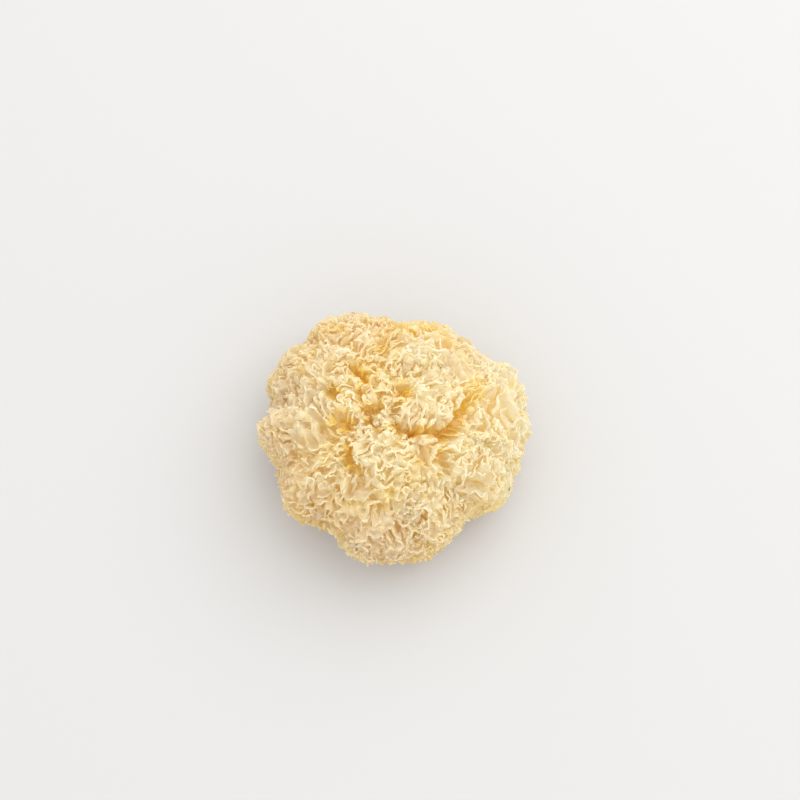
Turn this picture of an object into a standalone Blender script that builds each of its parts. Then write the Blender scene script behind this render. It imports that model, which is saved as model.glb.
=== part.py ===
"""One dried snow fungus head, modelled as it grew: a single fruiting body, cut flat at the foot.

The frond edges start as a few short arcs in whorls round the axis. They lengthen as they move
outwards, keep their distance from one another, and so fold into winding ruffles. The fronds are
the thin walls between a buried root line and the frilled edge that each line has grown into.
"""

import math

import bmesh
import bpy
import numpy as np
from mathutils.geometry import delaunay_2d_cdt

MM = 0.001

# Overall form
WIDEST_LEVEL = 26.0 * MM
CROWN_RISE = 36.0 * MM
UNDER_DROP = 31.0 * MM
CROWN_POWER = 2.0
UNDER_POWER = 2.6
HEART = np.array([0.0, 0.0, 10.0 * MM])

# The outline seen from above, at its lobes and notches: azimuth in degrees, radius from the axis
RIM = (
    (7, 55.5 * MM),
    (22, 56.5 * MM),
    (32, 55.5 * MM),
    (39, 50.0 * MM),
    (56, 51.5 * MM),
    (81, 49.0 * MM),
    (97, 50.0 * MM),
    (110, 54.0 * MM),
    (122, 56.5 * MM),
    (131, 54.5 * MM),
    (140, 56.0 * MM),
    (153, 56.0 * MM),
    (167, 49.5 * MM),
    (175, 54.0 * MM),
    (194, 47.5 * MM),
    (204, 49.5 * MM),
    (213, 51.0 * MM),
    (233, 45.5 * MM),
    (254, 49.5 * MM),
    (277, 49.0 * MM),
    (289, 50.5 * MM),
    (312, 43.5 * MM),
    (332, 51.5 * MM),
    (356, 52.0 * MM),
)

# How far round the underside the lowest fronds reach, from the axis, and how that varies
LOWEST_ANGLE = math.radians(97.6)
LOWEST_ANGLE_WAVES = ((3, math.radians(1.0), 0.4), (7, math.radians(1.0), 2.1), (12, math.radians(0.7), 4.0))

# Rounded cushions of fronds: the middle of each, seen from above
CUSHION_MIDDLES = (
    (-26.5 * MM, 27.0 * MM),
    (-16.0 * MM, 40.5 * MM),
    (9.5 * MM, 33.0 * MM),
    (38.7 * MM, 20.0 * MM),
    (41.7 * MM, 2.8 * MM),
    (19.0 * MM, 9.0 * MM),
    (-46.0 * MM, 1.0 * MM),
    (-31.8 * MM, -26.0 * MM),
    (2.0 * MM, -46.5 * MM),
    (31.8 * MM, -19.0 * MM),
    (-7.0 * MM, -17.0 * MM),
    (20.8 * MM, -37.0 * MM),
    (-18.0 * MM, 13.0 * MM),
)
CREVICE_DEPTH = 4.2 * MM
CREVICE_WIDTH = 3.0 * MM
CREVICE_SHARE_AT_RIM = 0.3
FULL_CREVICE_LEVEL = 0.55
CENTRE_CREVICE_DEPTH = 4.0 * MM
CENTRE_CREVICE_REACH = 16.0 * MM
FURTHEST_MIDDLE = 0.98

# Whorls of young fronds: angle from the axis, number, first azimuth and span, in degrees
WHORLS = (
    (12, 1, 0, 150),
    (40, 4, 20, 62),
    (68, 6, 50, 44),
    (90, 8, 10, 34),
)
WHORL_AZIMUTH_SCATTER = 8
WHORL_ANGLE_SCATTER = 4
FROND_SLANT_SCATTER = 28
LEAST_SWEEP = 0.35

# Growth from the heart to the skin: share of the way out, gap between fronds, length of a step
GROWTH = (
    (0.28, 6.5 * MM, 2.2 * MM),
    (0.60, 6.4 * MM, 2.2 * MM),
    (1.00, 6.6 * MM, 2.3 * MM),
)
GROWTH_STAGES = 120
MOST_NEW_POINTS = 0.25
SEED = 8

# How the edges settle: pull to even steps, smoothing of bends, push from neighbours and how far
# that reaches as a share of the gap, longest move as a share of a step, and how far a point that
# went round the underside is turned back
SETTLING_PASSES = 4
SPRING = 0.35
STIFFNESS = 0.25
CROWDING = 0.35
CROWDING_REACH = 1.3
LONGEST_MOVE = 0.3
REBOUND = 0.6

# The fronds as walls, with shares of the way from the heart to the skin
ROOT_SHARE = 0.80
ROOT_THICKNESS = 1.9 * MM
ROOM_TAKEN = 0.3
EDGE_DIP = 0.045
EDGE_WAVE_LENGTH = 9.0 * MM

# The flesh between the fronds and under the head
GROOVE_SHARE = 0.765
GROOVE_POINT_GAP = 5.2 * MM
GROOVE_CLEARANCE = 2.1 * MM
FOOT_RADIUS = 14.0 * MM
FOOT_SEGMENTS = 36
UNDERSIDE_RINGS = 4
UNDERSIDE_HOLLOW = 1.2 * MM

# Fineness of the sums. Rounded directions keep the growth the same on any machine
DIRECTION_DECIMALS = 7
FARTHEST_REACH = 120.0 * MM
HALVINGS = 26
AREA_RINGS = 60
AREA_TURNS = 90
MAP_TOLERANCE = 1e-9
TINY = 1e-9

CREAM = (0.84, 0.69, 0.41, 1.0)
CREAM_ROUGHNESS = 0.62
SHARP_EDGE = math.radians(50)


def unit(vectors):
    return vectors / np.linalg.norm(vectors, axis=-1, keepdims=True)


def eased(part):
    part = np.clip(part, 0, 1)
    return part * part * (3 - 2 * part)


def rim_radius(azimuth):
    """Radius of the outline at each azimuth in radians, easing from each lobe or notch to the next."""
    angles, radii = np.array(RIM).T
    angles = np.append(angles, angles[0] + 360)
    radii = np.append(radii, radii[0])
    turned = (np.degrees(azimuth) - angles[0]) % 360 + angles[0]
    after = np.clip(np.searchsorted(angles, turned, side="right"), 1, len(angles) - 1)
    part = (turned - angles[after - 1]) / (angles[after] - angles[after - 1])
    return radii[after - 1] + (radii[after] - radii[after - 1]) * eased(part)


def dome_reach(directions):
    """Distance from the heart to the dome without its crevices, found by halving."""
    near = np.zeros(len(directions))
    far = np.full(len(directions), FARTHEST_REACH)
    radius = rim_radius(np.arctan2(directions[:, 1], directions[:, 0]))
    sideways = np.hypot(directions[:, 0], directions[:, 1]) / radius
    for _ in range(HALVINGS):
        middle = (near + far) / 2
        level = HEART[2] + middle * directions[:, 2] - WIDEST_LEVEL
        upper = level > 0
        power = np.where(upper, CROWN_POWER, UNDER_POWER)
        height = np.abs(level) / np.where(upper, CROWN_RISE, UNDER_DROP)
        inside = (middle * sideways) ** power + height**power < 1
        near = np.where(inside, middle, near)
        far = np.where(inside, far, middle)
    return near


def cushion_directions():
    x, y = np.array(CUSHION_MIDDLES).T
    out = np.minimum(FURTHEST_MIDDLE, np.hypot(x, y) / rim_radius(np.arctan2(y, x)))
    z = WIDEST_LEVEL + CROWN_RISE * np.sqrt(1 - out**2)
    return unit(np.stack([x, y, z - HEART[2]], -1))


CUSHION_DIRECTIONS = cushion_directions()


def reach(directions):
    """Distance from the heart to the skin: the dome with its crevices between the cushions."""
    distance = dome_reach(directions)
    apart = np.arccos(np.clip(directions @ CUSHION_DIRECTIONS.T, -1, 1))
    apart.sort(axis=1)
    from_border = (apart[:, 1] - apart[:, 0]) / 2 * distance
    from_axis = np.hypot(directions[:, 0], directions[:, 1]) * distance
    central = np.exp(-((from_axis / CENTRE_CREVICE_REACH) ** 2)) * (directions[:, 2] > 0)
    up = eased(directions[:, 2] / FULL_CREVICE_LEVEL)
    fade = CREVICE_SHARE_AT_RIM + (1 - CREVICE_SHARE_AT_RIM) * up
    depth = CREVICE_DEPTH * fade + CENTRE_CREVICE_DEPTH * central
    return distance - depth * np.exp(-from_border / CREVICE_WIDTH)


def placed(directions, share):
    """Points that lie these directions from the heart, at a share of the way to the skin."""
    return HEART + directions * (reach(directions) * share)[:, None]


def near_pairs(points, distance):
    """Every pair of points closer than distance: the two indices, the gap and its length."""
    cells = np.floor(points / distance).astype(np.int64)
    cells -= cells.min(0) - 1
    size = cells.max(0) + 2
    key = (cells[:, 0] * size[1] + cells[:, 1]) * size[2] + cells[:, 2]
    order = np.argsort(key, kind="stable")
    ordered = key[order]
    steps = np.arange(-1, 2)
    shifts = ((steps[:, None, None] * size[1] + steps[:, None]) * size[2] + steps).ravel()
    first, second = [], []
    for shift in shifts[shifts >= 0]:
        low = np.searchsorted(ordered, key + shift, "left")
        high = np.searchsorted(ordered, key + shift, "right")
        count = high - low
        i = np.repeat(np.arange(len(points)), count)
        start = np.repeat(low - np.cumsum(count) + count, count)
        j = order[start + np.arange(len(i))]
        kept = (i < j) | (shift > 0)
        first.append(i[kept])
        second.append(j[kept])
    first, second = np.concatenate(first), np.concatenate(second)
    gap = points[first] - points[second]
    length = np.linalg.norm(gap, axis=1)
    close = length < distance
    return first[close], second[close], gap[close], length[close]


def young_fronds(rng, step, share):
    """Short arcs laid round the axis in whorls, as lists of directions from the heart."""
    arcs = []
    for angle, number, first_azimuth, span in WHORLS:
        for place in range(number):
            turn = first_azimuth + 360 / number * place
            azimuth = math.radians(turn + rng.uniform(-WHORL_AZIMUTH_SCATTER, WHORL_AZIMUTH_SCATTER))
            slant = math.radians(rng.uniform(-FROND_SLANT_SCATTER, FROND_SLANT_SCATTER))
            polar = math.radians(angle + rng.uniform(-WHORL_ANGLE_SCATTER, WHORL_ANGLE_SCATTER))
            level = np.array([math.cos(azimuth), math.sin(azimuth), 0.0])
            middle = level * math.sin(polar) + np.array([0.0, 0.0, math.cos(polar)])
            around = np.array([-math.sin(azimuth), math.cos(azimuth), 0.0])
            way = around * math.cos(slant) + np.cross(middle, around) * math.sin(slant)
            sweep = math.radians(span) * max(math.sin(polar), LEAST_SWEEP)
            radius = reach(middle[None])[0] * share
            number_of_points = max(3, int(sweep * radius / step))
            turned = np.linspace(-sweep / 2, sweep / 2, number_of_points)[:, None]
            arcs.append(unit(middle * np.cos(turned) + way * np.sin(turned)))
    return arcs


def skin_area():
    """Area of the plain dome that bears fronds."""
    edges = np.linspace(0.0, LOWEST_ANGLE, AREA_RINGS)
    turns = np.linspace(-math.pi, math.pi, AREA_TURNS, endpoint=False)
    polar, azimuth = np.meshgrid((edges[1:] + edges[:-1]) / 2, turns, indexing="ij")
    polar, azimuth = polar.ravel(), azimuth.ravel()
    directions = directions_at(polar, azimuth)
    patch = (edges[1] - edges[0]) * (turns[1] - turns[0])
    return float((dome_reach(directions) ** 2 * np.sin(polar)).sum() * patch)


def directions_at(polar, azimuth):
    across = np.sin(polar)
    return np.stack([across * np.cos(azimuth), across * np.sin(azimuth), np.cos(polar)], -1)


def lowest_angle(azimuth):
    waves = [height * np.cos(count * azimuth + phase) for count, height, phase in LOWEST_ANGLE_WAVES]
    return LOWEST_ANGLE + sum(waves)


def kept_above(directions):
    """Directions with those that go too far round the underside turned back up a little."""
    polar = np.arccos(np.clip(directions[:, 2], -1, 1))
    azimuth = np.arctan2(directions[:, 1], directions[:, 0])
    too_far = np.maximum(polar - lowest_angle(azimuth), 0)
    return directions_at(polar - (1 + REBOUND) * too_far, azimuth)


class Fronds:
    """Points along all frond edges: direction from the heart, which frond, and a lasting name."""

    def __init__(self, arcs):
        self.direction = np.concatenate(arcs)
        self.frond = np.concatenate([np.full(len(arc), k) for k, arc in enumerate(arcs)])
        self.name = np.arange(len(self.direction))
        self.next_name = len(self.direction)

    def links(self):
        return np.flatnonzero(self.frond[1:] == self.frond[:-1])

    def lengthen(self, missing, share, step, rng):
        """Adds points between neighbours, most of them where the edge is stretched."""
        link = self.links()
        point = placed(self.direction, share)
        length = np.linalg.norm(point[link + 1] - point[link], axis=1)
        weight = (length / step) ** 2
        number = min(missing, int(MOST_NEW_POINTS * len(link)))
        chosen = np.sort(rng.choice(len(link), size=number, replace=False, p=weight / weight.sum()))
        at = link[chosen]
        middle = self.direction[at] + self.direction[at + 1]
        scatter = rng.normal(size=(number, 3)) * step
        self.direction = np.insert(self.direction, at + 1, unit(middle + scatter), axis=0)
        self.frond = np.insert(self.frond, at + 1, self.frond[at])
        new_names = np.arange(self.next_name, self.next_name + number)
        self.name = np.insert(self.name, at + 1, new_names)
        self.next_name += number

    def settle(self, share, gap_wanted, step):
        """One small move of every point: even steps, gentle bends, and room between fronds."""
        point = placed(self.direction, share)
        move = np.zeros_like(point)
        link = self.links()
        edge = point[link + 1] - point[link]
        length = np.linalg.norm(edge, axis=1)
        pull = edge * (SPRING * (length - step) / np.maximum(length, TINY))[:, None]
        np.add.at(move, link, pull)
        np.add.at(move, link + 1, -pull)
        inner = link[:-1][np.diff(link) == 1] + 1
        bend = (point[inner - 1] + point[inner + 1]) / 2 - point[inner]
        move[inner] += STIFFNESS * bend
        far = gap_wanted * CROWDING_REACH
        i, j, gap, distance = near_pairs(point, far)
        apart = (np.abs(i - j) > 2) | (self.frond[i] != self.frond[j])
        i, j, gap, distance = i[apart], j[apart], gap[apart], distance[apart]
        strength = CROWDING * step * (1 - distance / far) / np.maximum(distance, TINY)
        push = gap * strength[:, None]
        for axis in range(3):
            move[:, axis] += np.bincount(i, push[:, axis], len(point))
            move[:, axis] -= np.bincount(j, push[:, axis], len(point))
        size = np.linalg.norm(move, axis=1)
        move *= np.minimum(1, LONGEST_MOVE * step / np.maximum(size, TINY))[:, None]
        self.direction = kept_above(unit(point + move - HEART)).round(DIRECTION_DECIMALS)


def grown_fronds():
    """The fronds at the root level and at the skin: (direction, frond, name) for each."""
    rng = np.random.default_rng(SEED)
    shares, gaps, steps = np.array(GROWTH).T
    area = skin_area()
    fronds = Fronds(young_fronds(rng, steps[0], shares[0]))
    roots = None
    for share in np.linspace(shares[0], shares[-1], GROWTH_STAGES + 1)[1:]:
        gap_wanted = np.interp(share, shares, gaps)
        step = np.interp(share, shares, steps)
        missing = int(area * share**2 / gap_wanted / step) - len(fronds.direction)
        if missing > 0:
            fronds.lengthen(missing, share, step, rng)
        for _ in range(SETTLING_PASSES):
            fronds.settle(share, gap_wanted, step)
        if roots is None and share >= ROOT_SHARE:
            roots = (fronds.direction, fronds.frond, fronds.name)
    return roots, (fronds.direction, fronds.frond, fronds.name)


def root_of_each(edge_names, root_directions, root_names):
    """Where on the root line each point of the edge grew from."""
    old = np.flatnonzero(np.isin(edge_names, root_names))
    place = np.interp(np.arange(len(edge_names)), old, np.arange(len(old)))
    below = np.minimum(place.astype(int), len(old) - 2)
    part = (place - below)[:, None]
    return unit(root_directions[below] * (1 - part) + root_directions[below + 1] * part)


def frond_walls():
    """For each frond: the two sides of its root, as directions, and its frilled edge in space."""
    roots, edges = grown_fronds()
    rng = np.random.default_rng(SEED + 1)
    fronds = range(edges[1].max() + 1)
    root_lines = []
    for frond in fronds:
        names = edges[2][edges[1] == frond]
        in_root = roots[1] == frond
        root_lines.append(root_of_each(names, roots[0][in_root], roots[2][in_root]))
    half_thickness = np.minimum(ROOT_THICKNESS / 2, ROOM_TAKEN * room_about(root_lines))
    walls, first = [], 0
    for frond, root in zip(fronds, root_lines):
        half = half_thickness[first : first + len(root)]
        first += len(root)
        side = unit(np.cross(np.gradient(root, axis=0), root)) * half[:, None]
        radius = (reach(root) * ROOT_SHARE)[:, None]
        directions = edges[0][edges[1] == frond]
        edge = placed(directions, 1 - edge_dip(placed(directions, 1), rng))
        walls.append((unit(root + side / radius), unit(root - side / radius), edge))
    return walls


def room_about(lines):
    """Distance from each root point to the nearest one that isn't its neighbour along the frond."""
    points = placed(np.concatenate(lines), ROOT_SHARE)
    frond = np.concatenate([np.full(len(line), k) for k, line in enumerate(lines)])
    room = np.full(len(points), GROOVE_POINT_GAP)
    i, j, _, distance = near_pairs(points, GROOVE_POINT_GAP)
    apart = (np.abs(i - j) > 1) | (frond[i] != frond[j])
    np.minimum.at(room, i[apart], distance[apart])
    np.minimum.at(room, j[apart], distance[apart])
    return room


def edge_dip(points, rng):
    """How far the edge dips below the skin, as a share, along one frond."""
    along = np.concatenate([[0], np.cumsum(np.linalg.norm(np.diff(points, axis=0), axis=1))])
    stations = np.arange(0, along[-1] + 2 * EDGE_WAVE_LENGTH, EDGE_WAVE_LENGTH / 2)
    return np.interp(along, stations, rng.uniform(0, EDGE_DIP, len(stations)))


def groove_points(roots):
    """Directions spread evenly over the flesh, clear of every frond's root."""
    radius = GROOVE_SHARE * RIM[0][1]
    number = int(4 * math.pi * radius**2 / GROOVE_POINT_GAP**2)
    k = np.arange(number)
    z = 1 - (2 * k + 1) / number
    turn = k * math.pi * (3 - math.sqrt(5))
    across = np.sqrt(1 - z**2)
    candidates = np.stack([across * np.cos(turn), across * np.sin(turn), z], -1)
    candidates = candidates[z > math.cos(LOWEST_ANGLE)]
    nearest = (candidates @ roots.T).max(axis=1)
    return candidates[np.arccos(np.clip(nearest, -1, 1)) * radius > GROOVE_CLEARANCE]


def flat_map(directions):
    """The dome of directions spread out on a plane, the axis in its middle."""
    polar = np.arccos(np.clip(directions[:, 2], -1, 1))
    azimuth = np.arctan2(directions[:, 1], directions[:, 0])
    return np.stack([polar * np.cos(azimuth), polar * np.sin(azimuth)], -1)


def underside_rings():
    """Flesh from under the lowest fronds in to the foot: (place on the map, place in space)."""
    foot_angle = math.pi - math.atan2(FOOT_RADIUS, HEART[2])
    azimuth = np.arange(FOOT_SEGMENTS) / FOOT_SEGMENTS * 2 * math.pi
    level = np.stack([np.cos(azimuth), np.sin(azimuth), np.zeros(FOOT_SEGMENTS)], -1)
    rim_directions = directions_at(lowest_angle(azimuth), azimuth)
    rim = placed(rim_directions, GROOVE_SHARE)
    foot = level * FOOT_RADIUS
    mapped, points = [], []
    for ring in range(1, UNDERSIDE_RINGS + 1):
        inwards = ring / UNDERSIDE_RINGS
        polar = lowest_angle(azimuth) * (1 - inwards) + foot_angle * inwards
        mapped.append(level[:, :2] * polar[:, None])
        hollow = UNDERSIDE_HOLLOW * math.sin(math.pi * inwards)
        points.append(rim * (1 - inwards) + foot * inwards + np.array([0.0, 0.0, hollow]))
    return np.concatenate(mapped), np.concatenate(points)


def root_outlines(walls):
    """For each frond, the corners round its root: along its left side and back along its right."""
    outlines, first = [], 0
    for left, _, _ in walls:
        count = len(left)
        there = range(first, first + count)
        back = range(first + 2 * count - 1, first + count - 1, -1)
        outlines.append([*there, *back])
        first += 2 * count
    return outlines


def add_flesh(body, vertices, on_map, outlines):
    """The skin between the fronds' roots and under the head, and the flat cut across the foot."""
    _, _, faces, matches, _, roots = delaunay_2d_cdt(on_map.tolist(), [], outlines, 0, MAP_TOLERANCE)
    if len(matches) != len(vertices):
        raise ValueError("two fronds share a root: widen the gap between them")
    for face, root in zip(faces, roots):
        if not root:
            body.faces.new([vertices[matches[corner][0]] for corner in face])
    body.faces.new(vertices[-FOOT_SEGMENTS:])


def add_wall(body, lefts, rights, edge):
    """One frond: a thin wedge from the two sides of its root up to its edge."""
    crest = [body.verts.new(point) for point in edge]
    for k in range(len(crest) - 1):
        body.faces.new((lefts[k], lefts[k + 1], crest[k + 1], crest[k]))
        body.faces.new((rights[k + 1], rights[k], crest[k], crest[k + 1]))
    body.faces.new((rights[0], lefts[0], crest[0]))
    body.faces.new((lefts[-1], rights[-1], crest[-1]))


def fruiting_body_mesh():
    walls = frond_walls()
    outlines = root_outlines(walls)
    roots = np.concatenate([side for wall in walls for side in wall[:2]])
    grooves = groove_points(roots)
    under_map, under_points = underside_rings()
    on_map = np.concatenate([flat_map(roots), flat_map(grooves), under_map])
    points = np.concatenate([placed(roots, ROOT_SHARE), placed(grooves, GROOVE_SHARE), under_points])

    body = bmesh.new()
    vertices = [body.verts.new(point) for point in points]
    add_flesh(body, vertices, on_map, outlines)
    for outline, (left, _, edge) in zip(outlines, walls):
        corners = [vertices[corner] for corner in outline]
        add_wall(body, corners[: len(left)], corners[: len(left) - 1 : -1], edge)
    bmesh.ops.recalc_face_normals(body, faces=body.faces)
    mesh = bpy.data.meshes.new("fruiting_body")
    body.to_mesh(mesh)
    body.free()
    return mesh


def dried_flesh():
    material = bpy.data.materials.new("dried_flesh")
    material.use_nodes = True
    shader = material.node_tree.nodes["Principled BSDF"]
    shader.inputs["Base Color"].default_value = CREAM
    shader.inputs["Roughness"].default_value = CREAM_ROUGHNESS
    shader.inputs["Metallic"].default_value = 0.0
    return material


def clear_scene():
    for old in list(bpy.data.objects):
        bpy.data.objects.remove(old, do_unlink=True)


def main():
    clear_scene()
    mesh = fruiting_body_mesh()
    mesh.materials.append(dried_flesh())
    mesh.shade_smooth()
    mesh.set_sharp_from_angle(angle=SHARP_EDGE)
    bpy.context.collection.objects.link(bpy.data.objects.new("fruiting_body", mesh))


main()
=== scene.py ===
import math

import bpy
import numpy as np
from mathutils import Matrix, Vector

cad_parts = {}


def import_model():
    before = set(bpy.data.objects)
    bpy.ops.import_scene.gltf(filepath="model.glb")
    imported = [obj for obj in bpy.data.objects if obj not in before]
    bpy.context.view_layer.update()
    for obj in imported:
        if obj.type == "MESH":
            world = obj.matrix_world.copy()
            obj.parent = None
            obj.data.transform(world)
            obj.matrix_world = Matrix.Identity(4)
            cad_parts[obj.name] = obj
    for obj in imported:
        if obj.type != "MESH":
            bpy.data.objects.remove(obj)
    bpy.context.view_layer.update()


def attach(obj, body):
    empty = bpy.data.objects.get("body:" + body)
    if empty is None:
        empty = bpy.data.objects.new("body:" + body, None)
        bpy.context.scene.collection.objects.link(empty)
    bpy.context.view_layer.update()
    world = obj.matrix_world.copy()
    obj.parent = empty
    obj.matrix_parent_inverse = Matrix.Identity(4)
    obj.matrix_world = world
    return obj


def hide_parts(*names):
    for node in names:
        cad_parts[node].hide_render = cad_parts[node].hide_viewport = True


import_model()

MM = 0.001

# Overall form: the level where it is widest, how far it goes above and below that, how full the two
# curves are, and the heart from which the fronds grow
WIDEST_LEVEL = 26.0 * MM
CROWN_RISE = 36.0 * MM
UNDER_DROP = 31.0 * MM
CROWN_POWER = 2.0
UNDER_POWER = 2.6
HEART = np.array([0.0, 0.0, 10.0 * MM])

# The outline seen from above, at its lobes and notches: azimuth in degrees, radius from the axis in
# millimetres
RIM = (
    (7, 55.5), (22, 56.5), (32, 55.5), (39, 50.0), (56, 51.5), (81, 49.0),
    (97, 50.0), (110, 54.0), (122, 56.5), (131, 54.5), (140, 56.0), (153, 56.0),
    (167, 49.5), (175, 54.0), (194, 47.5), (204, 49.5), (213, 51.0), (233, 45.5),
    (254, 49.5), (277, 49.0), (289, 50.5), (312, 43.5), (332, 51.5), (356, 52.0),
)

# How far round the underside the lowest fronds reach, as an angle from the axis, and how that
# varies: waves round the head, height in degrees, phase
LOWEST_ANGLE = math.radians(97.6)
LOWEST_ANGLE_WAVES = ((3, 1.0, 0.4), (7, 1.0, 2.1), (12, 0.7, 4.0))

# Rounded cushions of fronds: the middle of each in millimetres, seen from above
CUSHION_MIDDLES = (
    (-26.5, 27.0), (-16.0, 40.5), (9.5, 33.0), (38.7, 20.0), (41.7, 2.8),
    (19.0, 9.0), (-46.0, 1.0), (-31.8, -26.0), (2.0, -46.5), (31.8, -19.0),
    (-7.0, -17.0), (20.8, -37.0), (-18.0, 13.0),
)
# The furthest that a middle lies on the way to the outline, as a share
FURTHEST_MIDDLE = 0.98
# The crevices between them, how shallow they are at the rim and how steep a direction has full ones,
# and how much deeper they are near the axis
CREVICE_DEPTH = 3.0 * MM
CREVICE_WIDTH = 3.0 * MM
CREVICE_SHARE_AT_RIM = 0.3
FULL_CREVICE_LEVEL = 0.55
CENTRE_CREVICE_DEPTH = 2.0 * MM
CENTRE_CREVICE_REACH = 16.0 * MM

# Whorls of young fronds: angle from the axis, number, first azimuth and span, in degrees
WHORLS = (
    (12, 1, 0, 150),
    (40, 4, 20, 62),
    (68, 6, 50, 44),
    (90, 8, 10, 34),
)
WHORL_AZIMUTH_SCATTER = 8
WHORL_ANGLE_SCATTER = 4
FROND_SLANT_SCATTER = 28
LEAST_SWEEP = 0.35
FEWEST_ARC_POINTS = 3

# Calm parts with broader folds: azimuth, angle from the axis and spread in degrees, wider gap there
CALM_PARTS = (
    (18, 62, 15, 1.1),
    (75, 58, 13, 0.35),
    (222, 66, 15, 0.3),
    (335, 75, 12, 0.3),
)

# Growth from the heart to the skin: share of the way out, gap between fronds, length of a step
GROWTH = (
    (0.28, 6.5 * MM, 2.2 * MM),
    (0.60, 6.2 * MM, 2.0 * MM),
    (0.74, 5.2 * MM, 1.4 * MM),
    (0.87, 2.8 * MM, 0.75 * MM),
    (1.00, 1.55 * MM, 0.44 * MM),
)
GROWTH_STAGES = 200
# New points at one stage, at most, as a share of the links between the old ones
MOST_NEW_POINTS = 0.25

# Seeds of the random draws: the growth, the margins, and each field of noise
SEED = 8
MARGIN_SEED = SEED + 1
CRINKLE_SEED = SEED + 10
LEAN_SEED = SEED + 20
PIT_SEED = SEED + 30
FOOT_SEED = SEED + 40
RIB_SEED = SEED + 41
WRINKLE_SEED = SEED + 42
PORE_SEED = SEED + 43
CRACK_SEED = SEED + 44
PORE_PATCH_SEED = SEED + 45
SWAY_SEED = SEED + 50

# Smooth noise: how many waves it sums, how their lengths vary, and the peak that it is scaled by
NOISE_WAVES = 9
NOISE_SPREAD = (0.7, 1.4)
NOISE_PEAK = 1.6

# How the edges settle: pull to even steps, smoothing of bends, push from neighbours and how far
# that reaches as a share of the gap, how many neighbours along the edge don't push, longest move
# as a share of a step, and how far a point that went round the underside is turned back
SETTLING_PASSES = 3
SPRING = 0.35
STIFFNESS = 0.25
CROWDING = 0.35
CROWDING_REACH = 1.3
NEAR_NEIGHBOURS = 2
LONGEST_MOVE = 0.3
REBOUND = 0.6

# Slits that part a frond into petals: the shares that they come between, the petal length that
# they lead to, the fewest points of a petal, and how much more often the long ones are parted, as
# a power of what they have to spare
FIRST_SLIT_SHARE = 0.76
LAST_SLIT_SHARE = 0.97
PETAL_LENGTH = 6.5 * MM
SHORTEST_PETAL_POINTS = 8
SLIT_POWER = 1.5

# Rows of points across the sheets: one for so many stages of growth, with the share they start at
ROWS = ((0.50, 9), (0.84, 3))

# The share from which the sheets get thinner and more wrinkled, a little inside the base's crown
ROOT_SHARE = 0.70

# The margins of the sheets: the share of the way to the skin that they reach at most, so that
# their wrinkles stay within it, and how far they stay below that, as shares. The broad dips come
# from whole petals, long waves and shoulders at the petals' ends, the fine ones from lobes and teeth
FURTHEST_SHARE = 0.988
PETAL_DIP = 0.048
PETAL_DIP_POWER = 1.5
WAVE_DIP = 0.022
WAVE_LENGTH = 5.0 * MM
SHOULDER_DIP = 0.035
SHOULDER_LENGTH = 1.6 * MM
LOBE_DIP = 0.020
LOBE_LENGTHS = (1.2 * MM, 3.4 * MM)
TOOTH_DIP = 0.006
DIP_START = 0.80
BROAD_DIP_POWER = 1.2
FINE_DIP_POWER = 12

# Creases between the cushions, where the amber flesh shows and their depth also adds painted shade: half
# width, depth, and the line that each follows, seen from above, all in millimetres
CREASES = (
    (2.0, 8.0, ((0.5, -2.3), (3.2, -4.6))),
    (2.1, 10.0, ((7.6, -5.0), (9.9, -4.7))),
    (2.1, 10.0, ((14.2, -4.5), (16.4, -4.4), (20.7, -6.3))),
    (2.2, 8.5, ((20.7, -6.3), (25.5, -0.4), (27.0, 3.8), (30.0, 6.4))),
    (2.2, 7.5, ((-11.5, 4.3), (-5.7, 5.3))),
    (1.9, 7.0, ((-10.2, 0.4), (-9.0, -0.2))),
    (2.2, 7.0, ((-22.0, 0.4), (-18.5, -1.2))),
    (1.6, 6.0, ((-6.6, -3.6), (-6.0, -3.8))),
    (2.0, 6.5, ((4.5, 12.6), (4.5, 10.6))),
    (2.3, 8.0, ((-25.0, 13.2), (-23.0, 10.4))),
    (1.8, 6.0, ((-13.6, 11.4), (-13.0, 10.2))),
    (1.8, 6.5, ((-16.0, 23.4), (-11.2, 17.0))),
    (2.1, 6.5, ((-17.9, -11.6), (-17.9, -16.4), (-14.7, -19.4))),
    (1.8, 7.5, ((19.6, -13.6), (21.2, -16.0), (21.9, -19.0))),
)
CREASE_STEEPNESS = 3.0
# How far the sheets part on each side of a crease, and how far from it that reaches
PARTING = 0.9 * MM
PARTING_REACH = 3.0 * MM
# How much less the sheets lean there, and how far from a crease that reaches
UPRIGHT_SHARE = 0.5
UPRIGHT_REACH = 6.0 * MM
# Small pits everywhere between the frills: wavelength, depth, and how rare they are
PIT_WAVELENGTH = 8.0 * MM
PIT_DEPTH = 1.5 * MM
PIT_LEVEL = 0.35

# Patches of warmer (above 0) or paler flesh seen from above: x, y and radius in millimetres, amount. The
# paler ones lie on the cushion tops as painted light; the warmer ones lie mostly between the cushions,
# two of them on creases, as painted shade
PATCHES = (
    (32.5, 13.0, 6.0, 0.7), (-13.0, 21.0, 5.0, 0.3), (-3.0, -31.0, 9.0, 0.35),
    (28.0, -19.5, 6.5, -0.7), (17.0, 10.0, 10.0, -0.6), (-6.0, -4.0, 12.0, -0.25),
    (43.0, 16.0, 7.0, -0.5), (42.0, 3.0, 8.0, -0.3), (14.0, 33.0, 9.0, -0.25),
    (-38.0, 9.0, 12.0, -0.2), (-5.0, -18.0, 8.0, -0.4), (3.0, -44.0, 12.0, -0.3),
    (8.0, 46.0, 14.0, 0.45), (-21.0, 0.0, 4.0, 1.2), (4.5, 11.5, 3.5, 1.2),
)

# Dark specks on the margins seen from above: x, y and radius in millimetres
SPECKS = (
    (17.7, 21.1, 0.35), (19.6, 20.4, 0.25), (42.8, -14.6, 0.3), (43.6, -20.4, 0.25),
    (-13.4, -43.0, 0.3), (-42.5, 24.9, 0.3), (-26.9, 27.0, 0.25), (-1.3, 9.9, 0.3),
)
SPECK_START = 0.9
SPECK_STEEPNESS = 4

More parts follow.
